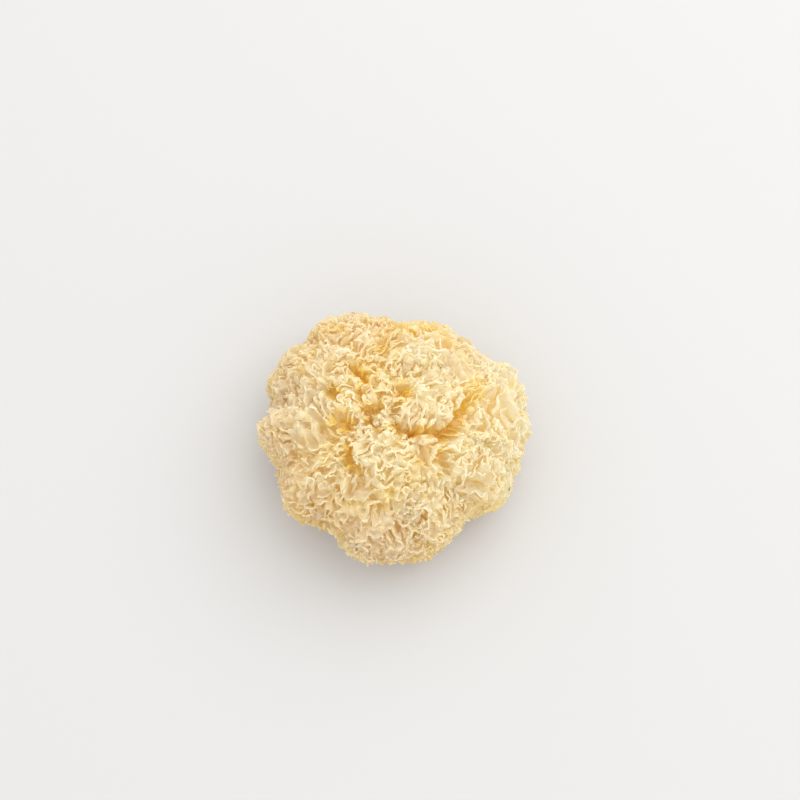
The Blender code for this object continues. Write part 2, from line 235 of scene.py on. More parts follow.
# How the sheets lean over towards the skin, like shingles whose way turns slowly over the head:
# distance moved at the margin, wavelength of the turning, and how soft it is where the ways meet
LEAN = 6.8 * MM
LEAN_WAVELENGTH = 29.0 * MM
LEAN_SOFTNESS = 0.15
LEAN_START = 0.82
LEAN_POWER = 2.0
# Smaller sways on top of that: wavelength, distance
SWAYS = ((9.0 * MM, 1.5 * MM), (4.4 * MM, 0.7 * MM))

# Towards the rim the margins are more even, so that the skin is softer: how steep the directions
# from the heart are where that starts and where it is full, how much less the margins dip there,
# and the share that they stay further in, so that the outline keeps its size
SOFT_START = 0.92
SOFT_FULL = 0.42
SOFT_DIP = 0.6
SOFT_INSET = 0.013

SHEET_THICKNESS = 0.50 * MM
MARGIN_THICKNESS = 0.32 * MM
# Wrinkles of the sheets: wavelength, height, how steeply they grow towards the margin
CRINKLES = (
    (6.5 * MM, 0.30 * MM, 0.0),
    (4.6 * MM, 0.45 * MM, 2.0),
    (1.9 * MM, 0.28 * MM, 3.0),
    (3.4 * MM, 0.90 * MM, 7.0),
)
PIECES = 6

# Fineness of the sums. Directions are rounded so that tiny differences between sums don't grow
DIRECTION_DECIMALS = 7
FARTHEST_REACH = 120.0 * MM
HALVINGS = 26
AREA_RINGS = 60
AREA_TURNS = 90
TINY = 1e-9
SHARP_EDGE = math.radians(65)

# Colours of the flesh from the roots of the sheets out to the margins, and of the amber flesh, whose
# gold also stands for painted shade in crevices, hollows and towards the rim
FLESH_STOPS = (
    (0.50, (0.88, 0.58, 0.20)),
    (0.58, (0.96, 0.77, 0.36)),
    (0.70, (0.985, 0.926, 0.67)),
    (0.805, (0.985, 0.942, 0.745)),
    (0.88, (0.985, 0.949, 0.79)),
    (0.94, (0.985, 0.953, 0.813)),
    (1.0, (0.985, 0.955, 0.83)),
)
GOLD = (0.985, 0.873, 0.37)
SPECK_COLOUR = (0.25, 0.10, 0.02)
TRANSLUCENCY = 0.9

# How amber the flesh is, the gold being partly amber flesh and partly painted shade: beside the
# crevices, in hollows of this depth, and towards the rim
AMBER_AND_SHADE_AT_BORDERS = 0.12
SHADED_BORDER_WIDTH = 4.0 * MM
FULL_AMBER_AND_SHADE_DEPTH = 4.0 * MM
RIM_AMBER_AND_SHADE = 0.4
RIM_AMBER_AND_SHADE_START = 0.7

# Painted shade: the flesh is a little darker and browner towards the rim, except on the right, where the
# lamp is, and how that fades to the right
SIDE_SHADE = (0.973, 0.909, 0.742)
SIDE_SHADE_FADE = 1.2

# Fine variation of both kinds of flesh: noise scale and detail, and how far it shifts the colour
FLESH_MOTTLE = (260.0, 3.0)
FLESH_MOTTLE_SHIFT = 0.09
BASE_MOTTLE = (300.0, 4.0)
BASE_MOTTLE_SHIFT = 0.7
# Cloudy variation of the warmth: noise scale and detail, strength, offset, and the warmth that is
# full gold
CLOUD = (60.0, 2.0)
CLOUD_STRENGTH = 0.9
CLOUD_OFFSET = -0.48
FULL_GOLD = 1.1
# Grain: noise scale and detail, bump strength and height, roughness, specular level
FLESH_GRAIN = (1600.0, 4.0, 0.35, 0.15 * MM)
FLESH_GLOSS = (0.7, 0.2)
BASE_GRAIN = (1300.0, 4.0, 0.5, 0.2 * MM)
BASE_GLOSS = (0.6, 0.3)

# The base under the fronds, which runs in to the foot where the head was cut from its log: the
# share that it reaches at the crown and at the rim, the angles from the axis between which it
# narrows, and how much darker it gets there
BASE_SHARES = (0.75, 0.52)
BASE_NARROWS = (math.radians(62), math.radians(96))
RIM_DARKENING = 0.5
FOOT_RADIUS = 14.0 * MM
FOOT_WANDER = 0.04
FOOT_WANDER_LENGTH = 11.0 * MM
BASE_TURNS = 420
CROWN_RINGS = 30
UNDER_RINGS = 60
FOOT_RINGS = 44
UNDER_HOLLOW = 1.8 * MM
HOLLOW_SKEW = 1.5

# Ribs of the underside, where the lowest fronds run in: they are drawn from noise along a circle
# of this radius, which drifts on the way in
RIB_CIRCLE = 30.0 * MM
RIB_LENGTH = 8.0 * MM
RIB_DRIFT = 7.0 * MM
RIB_HEIGHT = 0.9 * MM
RIM_SCALLOP = 0.03
RIB_FADE_POWER = 4
PALE_RIM = 0.6
WRINKLE_LENGTH = 2.6 * MM
WRINKLE_HEIGHT = 0.22 * MM

# The cut face: its pores, and cracks from drying as azimuth in degrees with start and end radius in
# millimetres
PORE_LENGTH = 1.5 * MM
PORE_PATCHES = 12.0 * MM
PORE_LEVEL = 0.25
PORE_DEPTH = 0.5 * MM
CUT_CRACKS = ((35, 4.0, 12.0), (118, 7.0, 13.0), (170, 2.0, 9.0), (290, 5.0, 13.0))
CRACK_HALF_WIDTH = 0.35 * MM
CRACK_DEPTH = 0.9 * MM
CRACK_BENDS = (5.0 * MM, 0.5 * MM)

# Colours of the base: its skin from furrows to ribs, darker in the furrows as painted shade and paler on
# the ribs as painted light, and its cut face from pores to the flat, darker in pores and cracks as
# painted shade
SKIN_STOPS = (
    (0.0, (0.46, 0.22, 0.06)),
    (0.4, (0.68, 0.40, 0.14)),
    (0.8, (0.82, 0.60, 0.28)),
    (1.0, (0.95, 0.82, 0.48)),
)
CUT_STOPS = (
    (0.0, (0.38, 0.19, 0.07)),
    (0.5, (0.70, 0.48, 0.22)),
    (1.0, (0.80, 0.64, 0.38)),
)

# The camera, as the photograph was taken: angle of view, elevation, distance, and where it aims
VIEW_ANGLE = math.radians(22.8)
SENSOR_WIDTH = 36.0
CAMERA_ELEVATION = math.radians(75)
CAMERA_DISTANCE = 0.75
HEAD_MIDDLE = np.array([0.0, 0.0, 27 * MM])
AIM_RIGHT = 2.65 * MM
AIM_UP = 14.4 * MM

# The floor, a little below the foot, and the plain soft light
FLOOR_SIDE = 3.0
FLOOR_LEVEL = -0.2 * MM
FLOOR_COLOUR = (0.53, 0.525, 0.515, 1)
FLOOR_ROUGHNESS = 0.9
WORLD_COLOUR = (1, 1, 1, 1)
WORLD_STRENGTH = 1.8
KEY_PLACE = (0.45, 0.45, 1.0)
KEY_AIM = (0, 0, 0.03)
KEY_SIZE = 1.2
KEY_POWER = 13
# Light gets out of the gaps between the sheets only after many bounces
MOST_BOUNCES = 48
MOST_SOFT_BOUNCES = 32


def unit(vectors):
    return vectors / np.linalg.norm(vectors, axis=-1, keepdims=True)


def eased(part):
    part = np.clip(part, 0, 1)
    return part * part * (3 - 2 * part)


def rim_radius(azimuth):
    """Radius of the outline at each azimuth in radians, easing from each lobe or notch to the next."""
    angles, radii = np.array(RIM).T
    angles = np.append(angles, angles[0] + 360)
    radii = np.append(radii, radii[0]) * MM
    turned = (np.degrees(azimuth) - angles[0]) % 360 + angles[0]
    after = np.clip(np.searchsorted(angles, turned, side="right"), 1, len(angles) - 1)
    part = (turned - angles[after - 1]) / (angles[after] - angles[after - 1])
    return radii[after - 1] + (radii[after] - radii[after - 1]) * eased(part)


def dome_reach(directions):
    """Distance from the heart to the dome without its crevices, found by halving."""
    near = np.zeros(len(directions))
    far = np.full(len(directions), FARTHEST_REACH)
    radius = rim_radius(np.arctan2(directions[:, 1], directions[:, 0]))
    sideways = np.hypot(directions[:, 0], directions[:, 1]) / radius
    for _ in range(HALVINGS):
        middle = (near + far) / 2
        level = HEART[2] + middle * directions[:, 2] - WIDEST_LEVEL
        upper = level > 0
        power = np.where(upper, CROWN_POWER, UNDER_POWER)
        height = np.abs(level) / np.where(upper, CROWN_RISE, UNDER_DROP)
        inside = (middle * sideways) ** power + height**power < 1
        near = np.where(inside, middle, near)
        far = np.where(inside, far, middle)
    return near


def cushion_directions():
    x, y = np.array(CUSHION_MIDDLES).T * MM
    out = np.minimum(FURTHEST_MIDDLE, np.hypot(x, y) / rim_radius(np.arctan2(y, x)))
    z = WIDEST_LEVEL + CROWN_RISE * np.sqrt(1 - out**2)
    return unit(np.stack([x, y, z - HEART[2]], -1))


CUSHION_DIRECTIONS = cushion_directions()


def from_crevice(directions, distance):
    """Distance on the skin to the nearest border between two cushions."""
    apart = np.arccos(np.clip(directions @ CUSHION_DIRECTIONS.T, -1, 1))
    apart.sort(axis=1)
    return (apart[:, 1] - apart[:, 0]) / 2 * distance


def crevice_fade(directions):
    up = eased(directions[:, 2] / FULL_CREVICE_LEVEL)
    return CREVICE_SHARE_AT_RIM + (1 - CREVICE_SHARE_AT_RIM) * up


def reach(directions):
    """Distance from the heart to the skin: the dome with its crevices between the cushions."""
    distance = dome_reach(directions)
    from_axis = np.hypot(directions[:, 0], directions[:, 1]) * distance
    central = np.exp(-((from_axis / CENTRE_CREVICE_REACH) ** 2)) * (directions[:, 2] > 0)
    depth = CREVICE_DEPTH * crevice_fade(directions) + CENTRE_CREVICE_DEPTH * central
    return distance - depth * np.exp(-from_crevice(directions, distance) / CREVICE_WIDTH)


def placed(directions, share):
    """Points that lie these directions from the heart, at a share of the way to the skin."""
    return HEART + directions * (reach(directions) * share)[:, None]


def directions_at(polar, azimuth):
    across = np.sin(polar)
    return np.stack([across * np.cos(azimuth), across * np.sin(azimuth), np.cos(polar)], -1)


def lowest_angle(azimuth):
    """The angle from the axis at which the lowest fronds end, at each azimuth."""
    waves = [
        math.radians(height) * np.cos(count * azimuth + phase)
        for count, height, phase in LOWEST_ANGLE_WAVES
    ]
    return LOWEST_ANGLE + sum(waves)


def kept_above(directions):
    """Directions with those that go too far round the underside turned back up a little."""
    polar = np.arccos(np.clip(directions[:, 2], -1, 1))
    azimuth = np.arctan2(directions[:, 1], directions[:, 0])
    too_far = np.maximum(polar - lowest_angle(azimuth), 0)
    return directions_at(polar - (1 + REBOUND) * too_far, azimuth)


def calm_gap(directions):
    """How much wider than elsewhere the fronds stand at each direction."""
    wider = np.ones(len(directions))
    for azimuth, polar, spread, extra in CALM_PARTS:
        middle = directions_at(math.radians(polar), math.radians(azimuth))
        apart = np.degrees(np.arccos(np.clip(directions @ middle, -1, 1)))
        wider += extra * np.exp(-((apart / spread) ** 2))
    return wider


def soft_noise(points, wavelength, seed):
    """Smooth noise in space, about -1 to 1."""
    rng = np.random.default_rng(seed)
    ways = unit(rng.normal(size=(NOISE_WAVES, 3))) * (2 * math.pi / wavelength)
    ways = ways * rng.uniform(*NOISE_SPREAD, (NOISE_WAVES, 1))
    phases = rng.uniform(0, 2 * math.pi, NOISE_WAVES)
    return np.cos(points @ ways.T + phases).sum(axis=1) / math.sqrt(NOISE_WAVES / 2) / NOISE_PEAK


def near_pairs(points, distance):
    """Every pair of points closer than distance: the two indices, the gap and its length."""
    cells = np.floor(points / distance).astype(np.int64)
    cells -= cells.min(0) - 1
    size = cells.max(0) + 2
    key = (cells[:, 0] * size[1] + cells[:, 1]) * size[2] + cells[:, 2]
    order = np.argsort(key, kind="stable")
    ordered = key[order]
    steps = np.arange(-1, 2)
    shifts = ((steps[:, None, None] * size[1] + steps[:, None]) * size[2] + steps).ravel()
    first, second = [], []
    for shift in shifts[shifts >= 0]:
        low = np.searchsorted(ordered, key + shift, "left")
        high = np.searchsorted(ordered, key + shift, "right")
        count = high - low
        i = np.repeat(np.arange(len(points)), count)
        start = np.repeat(low - np.cumsum(count) + count, count)
        j = order[start + np.arange(len(i))]
        kept = (i < j) | (shift > 0)
        first.append(i[kept])
        second.append(j[kept])
    first, second = np.concatenate(first), np.concatenate(second)
    gap = points[first] - points[second]
    length = np.linalg.norm(gap, axis=1)
    close = length < distance
    return first[close], second[close], gap[close], length[close]


def young_fronds(rng, step, share):
    """Short arcs laid round the axis in whorls, as lists of directions from the heart."""
    arcs = []
    for angle, number, first_azimuth, span in WHORLS:
        for place in range(number):
            turn = first_azimuth + 360 / number * place
            azimuth = math.radians(turn + rng.uniform(-WHORL_AZIMUTH_SCATTER, WHORL_AZIMUTH_SCATTER))
            slant = math.radians(rng.uniform(-FROND_SLANT_SCATTER, FROND_SLANT_SCATTER))
            polar = math.radians(angle + rng.uniform(-WHORL_ANGLE_SCATTER, WHORL_ANGLE_SCATTER))
            level = np.array([math.cos(azimuth), math.sin(azimuth), 0.0])
            middle = level * math.sin(polar) + np.array([0.0, 0.0, math.cos(polar)])
            around = np.array([-math.sin(azimuth), math.cos(azimuth), 0.0])
            way = around * math.cos(slant) + np.cross(middle, around) * math.sin(slant)
            sweep = math.radians(span) * max(math.sin(polar), LEAST_SWEEP)
            radius = reach(middle[None])[0] * share
            number_of_points = max(FEWEST_ARC_POINTS, int(sweep * radius / step))
            turned = np.linspace(-sweep / 2, sweep / 2, number_of_points)[:, None]
            arcs.append(unit(middle * np.cos(turned) + way * np.sin(turned)))
    return arcs


def skin_area():
    """Area of the plain dome that bears fronds, with the calm parts counted for less."""
    edges = np.linspace(0.0, LOWEST_ANGLE, AREA_RINGS)
    turns = np.linspace(-math.pi, math.pi, AREA_TURNS, endpoint=False)
    polar, azimuth = np.meshgrid((edges[1:] + edges[:-1]) / 2, turns, indexing="ij")
    polar, azimuth = polar.ravel(), azimuth.ravel()
    directions = directions_at(polar, azimuth)
    patch = (edges[1] - edges[0]) * (turns[1] - turns[0])
    return float((dome_reach(directions) ** 2 * np.sin(polar) / calm_gap(directions)).sum() * patch)


class Fronds:
    """Points along all frond edges: direction from the heart, which petal, and a lasting name."""

    def __init__(self, arcs):
        self.direction = np.concatenate(arcs)
        self.petal = np.concatenate([np.full(len(arc), k) for k, arc in enumerate(arcs)])
        self.name = np.arange(len(self.direction))
        self.next_name = len(self.direction)

    def links(self):
        return np.flatnonzero(self.petal[1:] == self.petal[:-1])

    def lengthen(self, missing, share, step, rng):
        """Adds points between neighbours, most of them where the edge is stretched."""
        link = self.links()
        point = placed(self.direction, share)
        length = np.linalg.norm(point[link + 1] - point[link], axis=1)
        weight = (length / step / calm_gap(self.direction[link])) ** 2
        number = min(missing, int(MOST_NEW_POINTS * len(link)))
        chosen = np.sort(rng.choice(len(link), size=number, replace=False, p=weight / weight.sum()))
        at = link[chosen]
        middle = self.direction[at] + self.direction[at + 1]
        scatter = rng.normal(size=(number, 3)) * step
        self.direction = np.insert(self.direction, at + 1, unit(middle + scatter), axis=0)
        self.petal = np.insert(self.petal, at + 1, self.petal[at])
        new_names = np.arange(self.next_name, self.next_name + number)
        self.name = np.insert(self.name, at + 1, new_names)
        self.next_name += number

    def slit(self, number_wanted, rng):
        """Parts the longest petals at random places until there are as many as wanted."""
        sizes = np.bincount(self.petal)
        for _ in range(max(0, number_wanted - len(sizes))):
            chance = np.maximum(sizes - 2.0 * SHORTEST_PETAL_POINTS, 0) ** SLIT_POWER
            if chance.sum() == 0:
                return
            petal = rng.choice(len(sizes), p=chance / chance.sum())
            members = np.flatnonzero(self.petal == petal)
            cut = rng.integers(SHORTEST_PETAL_POINTS, len(members) - SHORTEST_PETAL_POINTS + 1)
            self.petal[members[cut:]] = len(sizes)
            sizes[petal] = cut
            sizes = np.append(sizes, len(members) - cut)

    def settle(self, share, gap_wanted, step):
        """One small move of every point: even steps, gentle bends, and room between fronds."""
        point = placed(self.direction, share)
        move = np.zeros_like(point)
        link = self.links()
        edge = point[link + 1] - point[link]
        length = np.linalg.norm(edge, axis=1)
        pull = edge * (SPRING * (length - step) / np.maximum(length, TINY))[:, None]
        np.add.at(move, link, pull)
        np.add.at(move, link + 1, -pull)
        inner = link[:-1][np.diff(link) == 1] + 1
        bend = (point[inner - 1] + point[inner + 1]) / 2 - point[inner]
        move[inner] += STIFFNESS * bend
        far = gap_wanted * CROWDING_REACH * calm_gap(self.direction)
        i, j, gap, distance = near_pairs(point, far.max())
        far = (far[i] + far[j]) / 2
        apart = (np.abs(i - j) > NEAR_NEIGHBOURS) | (self.petal[i] != self.petal[j])
        apart &= distance < far
        i, j, gap, distance, far = i[apart], j[apart], gap[apart], distance[apart], far[apart]
        strength = CROWDING * step * (1 - distance / far) / np.maximum(distance, TINY)
        push = gap * strength[:, None]
        for axis in range(3):
            move[:, axis] += np.bincount(i, push[:, axis], len(point))
            move[:, axis] -= np.bincount(j, push[:, axis], len(point))
        size = np.linalg.norm(move, axis=1)
        move *= np.minimum(1, LONGEST_MOVE * step / np.maximum(size, TINY))[:, None]
        self.direction = kept_above(unit(point + move - HEART)).round(DIRECTION_DECIMALS)


def row_wanted(share, from_end):
    """Whether the sheets get a row of points at this stage of growth."""
    if share < ROWS[0][0]:
        return False
    every = [number for start, number in ROWS if share >= start][-1]
    return from_end % every == 0


def grown_rows():
    """Rows of points from the sheets' roots to their margins: (share, direction, petal, name)."""
    rng = np.random.default_rng(SEED)
    shares, gaps, steps = np.array(GROWTH).T
    area = skin_area()
    fronds = Fronds(young_fronds(rng, steps[0], shares[0]))
    rows = []
    for stage in range(1, GROWTH_STAGES + 1):
        share = shares[0] + (shares[-1] - shares[0]) * stage / GROWTH_STAGES
        gap_wanted = np.interp(share, shares, gaps)
        step = np.interp(share, shares, steps)
        missing = int(area * share**2 / gap_wanted / step) - len(fronds.direction)
        if missing > 0:
            fronds.lengthen(missing, share, step, rng)
        if FIRST_SLIT_SHARE < share < LAST_SLIT_SHARE:
            part = (share - FIRST_SLIT_SHARE) / (LAST_SLIT_SHARE - FIRST_SLIT_SHARE)
            fronds.slit(int(part * area / gaps[-1] / PETAL_LENGTH), rng)
        for _ in range(SETTLING_PASSES):
            fronds.settle(share, gap_wanted, step)
        if row_wanted(share, GROWTH_STAGES - stage):
            rows.append((share, fronds.direction, fronds.petal.copy(), fronds.name))
    return rows


def stitched(lower, upper, lower_start, upper_start):
    """Triangles between one row and the next, which has the same points and some new ones."""
    _, _, lower_petal, lower_names = lower
    _, _, upper_petal, upper_names = upper
    old = np.isin(upper_names, lower_names)
    old_places = np.flatnonzero(old)
    last_old = np.cumsum(old) - 1
    joined = upper_petal[1:] == upper_petal[:-1]

    # Where a new slit parts the run between two old neighbours
    broken = np.flatnonzero(~joined)
    slit_at = np.full(len(old_places), -1)
    slit_at[last_old[broken]] = broken

    # Each link of the upper row fans out from the old point below it that is nearer
    link = np.flatnonzero(joined)
    run = last_old[link]
    same = run + 1 < len(old_places)
    same &= lower_petal[np.minimum(run + 1, len(lower_petal) - 1)] == lower_petal[run]
    link, run = link[same], run[same]
    start, end = old_places[run], old_places[run + 1]
    parted = (slit_at[run] >= start) & (slit_at[run] < end)
    turn = np.where(parted, slit_at[run], start + (end - start) // 2)
    apex = np.where(link < turn, run, run + 1)
    fans = np.stack([lower_start + apex, upper_start + link + 1, upper_start + link], -1)

    # Each link of the lower row is bridged to the middle of its run above
    below = np.flatnonzero(lower_petal[1:] == lower_petal[:-1])
    whole = (slit_at[below] < old_places[below]) | (slit_at[below] >= old_places[below + 1])
    below = below[whole]
    middle = (old_places[below] + old_places[below + 1]) // 2
    bridges = np.stack([lower_start + below, lower_start + below + 1, upper_start + middle], -1)
    return np.concatenate([fans, bridges])


def lobed(along, rng):
    """Scallops along the margins: 0 on the round of each lobe, 1 in the notches between."""
    number = int(along[-1] / LOBE_LENGTHS[0]) + 2
    notches = np.cumsum(rng.uniform(*LOBE_LENGTHS, number)) - LOBE_LENGTHS[1]
    after = np.searchsorted(notches, along, side="right")
    part = (along - notches[after - 1]) / (notches[after] - notches[after - 1])
    return 1 - np.sqrt(np.clip(4 * part * (1 - part), 0, 1))


def margin_dips(last):
    """How far each point of the last row stays below the skin, as a share: broad dips, fine dips."""
    rng = np.random.default_rng(MARGIN_SEED)
    _, direction, petal, _ = last
    point = placed(direction, 1.0)
    joined = petal[1:] == petal[:-1]
    length = np.linalg.norm(np.diff(point, axis=0), axis=1)
    along = np.concatenate([[0], np.cumsum(length)])
    starts = np.concatenate([[0], np.flatnonzero(~joined) + 1])
    ends = np.concatenate([starts[1:] - 1, [len(petal) - 1]])
    own = np.repeat(np.arange(len(starts)), ends - starts + 1)
    stations = np.arange(0, along[-1] + 2 * WAVE_LENGTH, WAVE_LENGTH / 2)
    wave = np.interp(along, stations, rng.uniform(0, WAVE_DIP, len(stations)))
    from_end = np.minimum(along - along[starts][own], along[ends][own] - along)
    shoulder = SHOULDER_DIP * np.exp(-from_end / SHOULDER_LENGTH)
    petal_dip = rng.uniform(0, 1, len(starts)) ** PETAL_DIP_POWER * PETAL_DIP
    broad = petal_dip[own] + wave + shoulder
    fine = LOBE_DIP * lobed(along, rng) + rng.uniform(0, TOOTH_DIP, len(petal))
    return broad, fine


def vector_noise(points, wavelength, seed):
    """Smooth noise in space with three parts."""
    return np.stack([soft_noise(points, wavelength, seed + axis) for axis in range(3)], -1)


def along_skin(vectors, direction):
    """The vectors without the part of each that points out of the skin."""
    return vectors - direction * (direction * vectors).sum(axis=1, keepdims=True)


def outwardness(directions):
    """How near the rim each direction is: 0 over the crown, 1 at the rim and below it."""
    return eased((SOFT_START - directions[:, 2]) / (SOFT_START - SOFT_FULL))


def leaned(direction, share):
    """Directions moved aside, more towards the margin, so that the sheets lean over each other."""
    weight = np.clip((share - LEAN_START) / (1 - LEAN_START), 0, 1) ** LEAN_POWER
    point = placed(direction, 1.0)
    aside, near_crease = parting(point)
    way = along_skin(vector_noise(point, LEAN_WAVELENGTH, LEAN_SEED), direction)
    lean = LEAN * way / (np.linalg.norm(way, axis=1, keepdims=True) + LEAN_SOFTNESS)
    for number, (wavelength, distance) in enumerate(SWAYS):
        sway = vector_noise(point, wavelength, SWAY_SEED + 3 * number)
        lean += distance * along_skin(sway, direction)
    drift = aside + lean * (1 - UPRIGHT_SHARE * near_crease)[:, None]
    radius = np.linalg.norm(point - HEART, axis=1, keepdims=True)
    return kept_above(unit(direction + along_skin(drift, direction) * weight / radius))


def from_line(points, line):
    """The way to each point from the nearest place on a line of corners, seen from above."""
    nearest = np.full((len(points), 2), np.inf)
    for start, end in zip(line, line[1:]):
        run = end - start
        part = np.clip((points[:, :2] - start) @ run / (run @ run), 0, 1)
        way = points[:, :2] - start - part[:, None] * run
        nearer = (way**2).sum(axis=1) < (nearest**2).sum(axis=1)
        nearest[nearer] = way[nearer]
    return nearest


def hollows(points):
    """How far the creases and pits go below the skin under each point of it."""
    depth = np.zeros(len(points))
    for half_width, most, line in CREASES:
        away = np.linalg.norm(from_line(points, np.array(line) * MM), axis=1) / (half_width * MM)
        depth = np.maximum(depth, most * MM * np.exp(-(away**CREASE_STEEPNESS)))
    depth *= points[:, 2] > WIDEST_LEVEL
    pits = np.clip(soft_noise(points, PIT_WAVELENGTH, PIT_SEED) - PIT_LEVEL, 0, 1)
    return np.maximum(depth, PIT_DEPTH * pits)


def parting(points):
    """How the sheets part along the creases, and how near a crease each point is, 0 to 1."""
    move = np.zeros_like(points)
    near = np.zeros(len(points))
    upper = points[:, 2] > WIDEST_LEVEL
    for _, _, line in CREASES:
        way = from_line(points, np.array(line) * MM)
        away = np.linalg.norm(way, axis=1)
        pull = np.exp(-((away / PARTING_REACH) ** 2)) * upper
        move[:, :2] += way / np.maximum(away, TINY)[:, None] * (PARTING * pull)[:, None]
        near = np.maximum(near, np.exp(-((away / UPRIGHT_REACH) ** 2)) * upper)
    return move, near


def from_spot(points, x, y):
    """Distance of each point, seen from above, from a place in millimetres."""
    return np.hypot(points[:, 0] - x * MM, points[:, 1] - y * MM)


def amber_and_shading_of(points, directions):
    """How amber the flesh is, partly amber flesh and partly painted shade: in hollows, beside the
    crevices, at the rim and in a few patches, where the paler ones are painted light.
    """
    # The gold beside the crevices, in hollows and towards the rim is partly amber flesh and partly
    # painted shade
    border = np.exp(-from_crevice(directions, dome_reach(directions)) / SHADED_BORDER_WIDTH)
    amber_and_shading = AMBER_AND_SHADE_AT_BORDERS * border * crevice_fade(directions)
    amber_and_shading = amber_and_shading + np.clip(hollows(points) / FULL_AMBER_AND_SHADE_DEPTH, 0, 1)
    amber_and_shading = amber_and_shading + RIM_AMBER_AND_SHADE * eased((RIM_AMBER_AND_SHADE_START - directions[:, 2]) / RIM_AMBER_AND_SHADE_START)
    # Painted light on the cushion tops, and painted shade between the cushions and on two creases
    for x, y, radius, amount in PATCHES:
        away = from_spot(points, x, y) / (radius * MM)
        amber_and_shading = amber_and_shading + amount * np.exp(-(away**2)) * (points[:, 2] > WIDEST_LEVEL)
    return amber_and_shading


def side_shade_of(directions):
    """How much painted shade darkens the flesh: more towards the rim, and less to the right, where the
    lamp is.
    """
    return outwardness(directions) * np.clip(1 - SIDE_SHADE_FADE * directions[:, 0], 0, 1)


def specks_at(points, share):
    """How near each point is to the middle of a dark speck, 0 to 1."""
    near = np.zeros(len(points))
    for x, y, radius in SPECKS:
        away = from_spot(points, x, y) / (radius * MM)
        near = np.maximum(near, np.exp(-(away**SPECK_STEEPNESS)))
    return near * (share > SPECK_START) * (points[:, 2] > WIDEST_LEVEL)


def sheet_surface(rows):
    """The middle surface of all sheets: points, triangles, and each point's share and colours."""
    names = rows[-1][3]
    broad, fine = np.zeros(names.max() + 1), np.zeros(names.max() + 1)
    broad[names], fine[names] = margin_dips(rows[-1])
    points, triangles, shares, amber_and_shadings, side_shades = [], [], [], [], []
    start, previous = 0, None
    for number, row in enumerate(rows):
        share, direction, _, name = row
        out = np.clip((share - DIP_START) / (1 - DIP_START), 0, 1)
        direction = leaned(direction, share)
        skin = placed(direction, 1.0)
        sunk = hollows(skin) / np.linalg.norm(skin - HEART, axis=1)
        soft = outwardness(direction)
        dip = broad[name] * out**BROAD_DIP_POWER + fine[name] * out**FINE_DIP_POWER
        own_share = share - dip * (1 - SOFT_DIP * soft) - SOFT_INSET * soft - sunk * out
        points.append(HEART + (skin - HEART) * (FURTHEST_SHARE * own_share)[:, None])
        shares.append(np.full(len(name), share))
        amber_and_shadings.append(amber_and_shading_of(skin, direction))
        side_shades.append(side_shade_of(direction))
        if previous is not None:
            triangles.append(stitched(rows[number - 1], row, previous, start))
        previous = start
        start += len(name)
    return tuple(map(np.concatenate, (points, triangles, shares, amber_and_shadings, side_shades)))


def point_normals(points, triangles):
    corners = points[triangles]
    face = np.cross(corners[:, 1] - corners[:, 0], corners[:, 2] - corners[:, 0])
    normal = np.zeros_like(points)
    for corner in range(3):
        for axis in range(3):
            normal[:, axis] += np.bincount(triangles[:, corner], face[:, axis], len(points))
    return normal / np.maximum(np.linalg.norm(normal, axis=1, keepdims=True), TINY * TINY)


def free_edges(triangles):
    """Edges that only one triangle has, in that triangle's order."""
    ends = np.concatenate([triangles[:, [0, 1]], triangles[:, [1, 2]], triangles[:, [2, 0]]])
    big = triangles.max() + 1
    key = ends[:, 0] * big + ends[:, 1]
    back = ends[:, 1] * big + ends[:, 0]
    return ends[~np.isin(key, back)]


def thickened(points, triangles, half):
    """Closed walls: the surface on both sides, joined round every free edge."""
    normal = point_normals(points, triangles)
    edge = free_edges(triangles)
    count = len(points)
    both = np.concatenate([points + normal * half[:, None], points - normal * half[:, None]])
    rim = np.concatenate([
        np.stack([edge[:, 1], edge[:, 0], edge[:, 0] + count], -1),
        np.stack([edge[:, 1], edge[:, 0] + count, edge[:, 1] + count], -1),
    ])
    return both, np.concatenate([triangles, triangles[:, ::-1] + count, rim])


def mesh_object(name, points, triangles, values, material):
    """A smooth mesh of triangles in the scene, with a value at each point under each label."""
    mesh = bpy.data.meshes.new(name)
    mesh.vertices.add(len(points))
    mesh.vertices.foreach_set("co", points.astype(np.float32).ravel())
    mesh.loops.add(3 * len(triangles))
    mesh.loops.foreach_set("vertex_index", triangles.astype(np.int32).ravel())
    mesh.polygons.add(len(triangles))
    mesh.polygons.foreach_set("loop_start", np.arange(0, 3 * len(triangles), 3, dtype=np.int32))
    mesh.polygons.foreach_set("use_smooth", np.ones(len(triangles), dtype=bool))
    for label, value in values.items():
        attribute = mesh.attributes.new(label, "FLOAT", "POINT")
        attribute.data.foreach_set("value", value.astype(np.float32))
    mesh.update(calc_edges=True)
    mesh.validate()
    mesh.set_sharp_from_angle(angle=SHARP_EDGE)
    mesh.materials.append(material)
    thing = bpy.data.objects.new(name, mesh)
    bpy.context.collection.objects.link(thing)
    return thing


def sheet_labels(triangles, count):
    """A label for each point, the same all over one joined sheet."""
    label = np.arange(count)
    ends = np.concatenate([triangles[:, [0, 1]], triangles[:, [1, 2]]])
    while True:
        low = np.minimum(label[ends[:, 0]], label[ends[:, 1]])
        new = label.copy()
        np.minimum.at(new, ends[:, 0], low)
        np.minimum.at(new, ends[:, 1], low)
        new = new[new]
        if (new == label).all():
            return label
        label = new


def shared_out(label):
    """Which piece each point belongs to, with whole sheets in a piece and the pieces about even."""
    size = np.bincount(label)
    piece_of_label = np.zeros(len(size), dtype=int)
    loads = [0] * PIECES
    for sheet in np.argsort(-size, kind="stable")[: np.count_nonzero(size)]:
        lightest = int(np.argmin(loads))
        piece_of_label[sheet] = lightest
        loads[lightest] += size[sheet]
    return piece_of_label[label]


